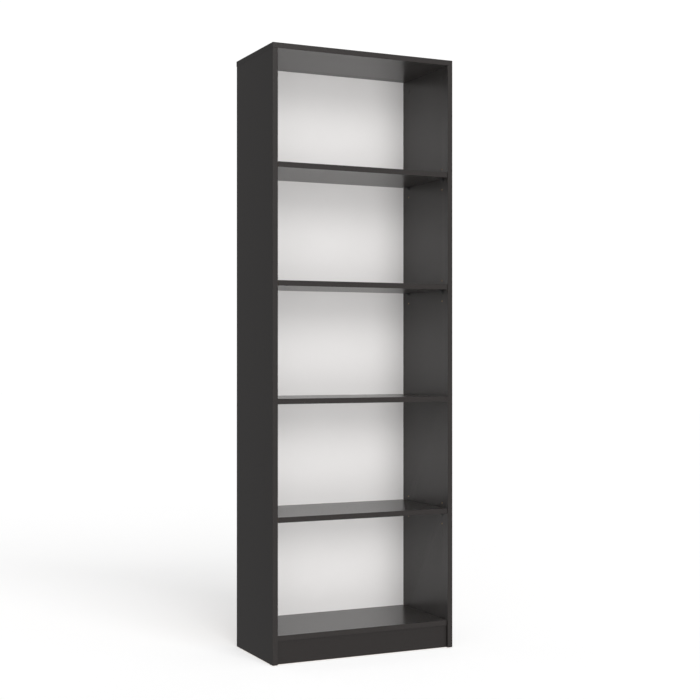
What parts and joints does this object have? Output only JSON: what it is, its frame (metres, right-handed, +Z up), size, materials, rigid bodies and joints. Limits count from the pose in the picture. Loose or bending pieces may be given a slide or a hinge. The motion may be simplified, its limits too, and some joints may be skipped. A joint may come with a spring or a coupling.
{
  "type": "bookcase with adjustable shelves",
  "caption": "Tall narrow open bookcase in anthracite board with a white back, a fixed shelf, pull-out adjustable shelves on push-in supports, and a set-back plinth.",
  "frame": {"origin": "on the floor at the middle of the footprint", "axes": "+X to the right seen from the front, +Y to the back, +Z up"},
  "size_m": [0.6, 0.3, 1.82],
  "materials": {
    "board_anthracite": "satin anthracite melamine on chipboard, matching edge band",
    "back_white": "white lacquered thin hardboard, brown at the back",
    "zinc": "die-cast zinc, dull",
    "steel": "zinc-plated steel",
    "support_plastic": "moulded dark plastic",
    "cap_plastic": "moulded plastic in the colour of the boards",
    "dowel_wood": "plain turned beech",
    "glide_plastic": "moulded dark plastic on a steel nail"
  },
  "bodies": {
    "carcass": {"back_panel": "back_white", "bottom_bolt_left_front": "steel", "bottom_bolt_left_rear": "steel", "bottom_bolt_right_front": "steel", "bottom_bolt_right_rear": "steel", "bottom_cam_left_front": "zinc", "bottom_cam_left_rear": "zinc", "bottom_cam_right_front": "zinc", "bottom_cam_right_rear": "zinc", "bottom_panel": "board_anthracite", "cover_cap_left_front": "cap_plastic", "cover_cap_left_rear": "cap_plastic", "cover_cap_right_front": "cap_plastic", "cover_cap_right_rear": "cap_plastic", "fixed_shelf": "board_anthracite", "fixed_shelf_bolt_left_front": "steel", "fixed_shelf_bolt_left_rear": "steel", "fixed_shelf_bolt_right_front": "steel", "fixed_shelf_bolt_right_rear": "steel", "fixed_shelf_cam_left_front": "zinc", "fixed_shelf_cam_left_rear": "zinc", "fixed_shelf_cam_right_front": "zinc", "fixed_shelf_cam_right_rear": "zinc", "floor_glide_left_front": "glide_plastic", "floor_glide_left_rear": "glide_plastic", "floor_glide_right_front": "glide_plastic", "floor_glide_right_rear": "glide_plastic", "left_side_panel": "board_anthracite", "plinth_board": "board_anthracite", "plinth_dowel_left_high": "dowel_wood", "plinth_dowel_left_low": "dowel_wood", "plinth_dowel_right_high": "dowel_wood", "plinth_dowel_right_low": "dowel_wood", "right_side_panel": "board_anthracite", "top_bolt_left_front": "steel", "top_bolt_left_rear": "steel", "top_bolt_right_front": "steel", "top_bolt_right_rear": "steel", "top_cam_left_front": "zinc", "top_cam_left_rear": "zinc", "top_cam_right_front": "zinc", "top_cam_right_rear": "zinc", "top_panel": "board_anthracite"},
    "lower_adjustable_shelf": {"lower_adjustable_shelf": "board_anthracite"},
    "middle_adjustable_shelf": {"middle_adjustable_shelf": "board_anthracite"},
    "upper_adjustable_shelf": {"upper_adjustable_shelf": "board_anthracite"},
    "lower_shelf_support_left_front": {"lower_shelf_support_left_front": "support_plastic"},
    "lower_shelf_support_left_rear": {"lower_shelf_support_left_rear": "support_plastic"},
    "lower_shelf_support_right_front": {"lower_shelf_support_right_front": "support_plastic"},
    "lower_shelf_support_right_rear": {"lower_shelf_support_right_rear": "support_plastic"},
    "middle_shelf_support_left_front": {"middle_shelf_support_left_front": "support_plastic"},
    "middle_shelf_support_left_rear": {"middle_shelf_support_left_rear": "support_plastic"},
    "middle_shelf_support_right_front": {"middle_shelf_support_right_front": "support_plastic"},
    "middle_shelf_support_right_rear": {"middle_shelf_support_right_rear": "support_plastic"},
    "upper_shelf_support_left_front": {"upper_shelf_support_left_front": "support_plastic"},
    "upper_shelf_support_left_rear": {"upper_shelf_support_left_rear": "support_plastic"},
    "upper_shelf_support_right_front": {"upper_shelf_support_right_front": "support_plastic"},
    "upper_shelf_support_right_rear": {"upper_shelf_support_right_rear": "support_plastic"}
  },
  "joints": [
    {"name": "lower_shelf_pull_out", "type": "slide", "parent": "carcass", "child": "lower_adjustable_shelf", "axis": [0, -1, 0], "range_m": [0, 0.3]},
    {"name": "middle_shelf_pull_out", "type": "slide", "parent": "carcass", "child": "middle_adjustable_shelf", "axis": [0, -1, 0], "range_m": [0, 0.3]},
    {"name": "upper_shelf_pull_out", "type": "slide", "parent": "carcass", "child": "upper_adjustable_shelf", "axis": [0, -1, 0], "range_m": [0, 0.3]},
    {"name": "lower_shelf_support_left_front_pull", "type": "slide", "parent": "carcass", "child": "lower_shelf_support_left_front", "axis": [1, 0, 0], "range_m": [0, 0.012]},
    {"name": "lower_shelf_support_left_rear_pull", "type": "slide", "parent": "carcass", "child": "lower_shelf_support_left_rear", "axis": [1, 0, 0], "range_m": [0, 0.012]},
    {"name": "lower_shelf_support_right_front_pull", "type": "slide", "parent": "carcass", "child": "lower_shelf_support_right_front", "axis": [-1, 0, 0], "range_m": [0, 0.012]},
    {"name": "lower_shelf_support_right_rear_pull", "type": "slide", "parent": "carcass", "child": "lower_shelf_support_right_rear", "axis": [-1, 0, 0], "range_m": [0, 0.012]},
    {"name": "middle_shelf_support_left_front_pull", "type": "slide", "parent": "carcass", "child": "middle_shelf_support_left_front", "axis": [1, 0, 0], "range_m": [0, 0.012]},
    {"name": "middle_shelf_support_left_rear_pull", "type": "slide", "parent": "carcass", "child": "middle_shelf_support_left_rear", "axis": [1, 0, 0], "range_m": [0, 0.012]},
    {"name": "middle_shelf_support_right_front_pull", "type": "slide", "parent": "carcass", "child": "middle_shelf_support_right_front", "axis": [-1, 0, 0], "range_m": [0, 0.012]},
    {"name": "middle_shelf_support_right_rear_pull", "type": "slide", "parent": "carcass", "child": "middle_shelf_support_right_rear", "axis": [-1, 0, 0], "range_m": [0, 0.012]},
    {"name": "upper_shelf_support_left_front_pull", "type": "slide", "parent": "carcass", "child": "upper_shelf_support_left_front", "axis": [1, 0, 0], "range_m": [0, 0.012]},
    {"name": "upper_shelf_support_left_rear_pull", "type": "slide", "parent": "carcass", "child": "upper_shelf_support_left_rear", "axis": [1, 0, 0], "range_m": [0, 0.012]},
    {"name": "upper_shelf_support_right_front_pull", "type": "slide", "parent": "carcass", "child": "upper_shelf_support_right_front", "axis": [-1, 0, 0], "range_m": [0, 0.012]},
    {"name": "upper_shelf_support_right_rear_pull", "type": "slide", "parent": "carcass", "child": "upper_shelf_support_right_rear", "axis": [-1, 0, 0], "range_m": [0, 0.012]}
  ]
}
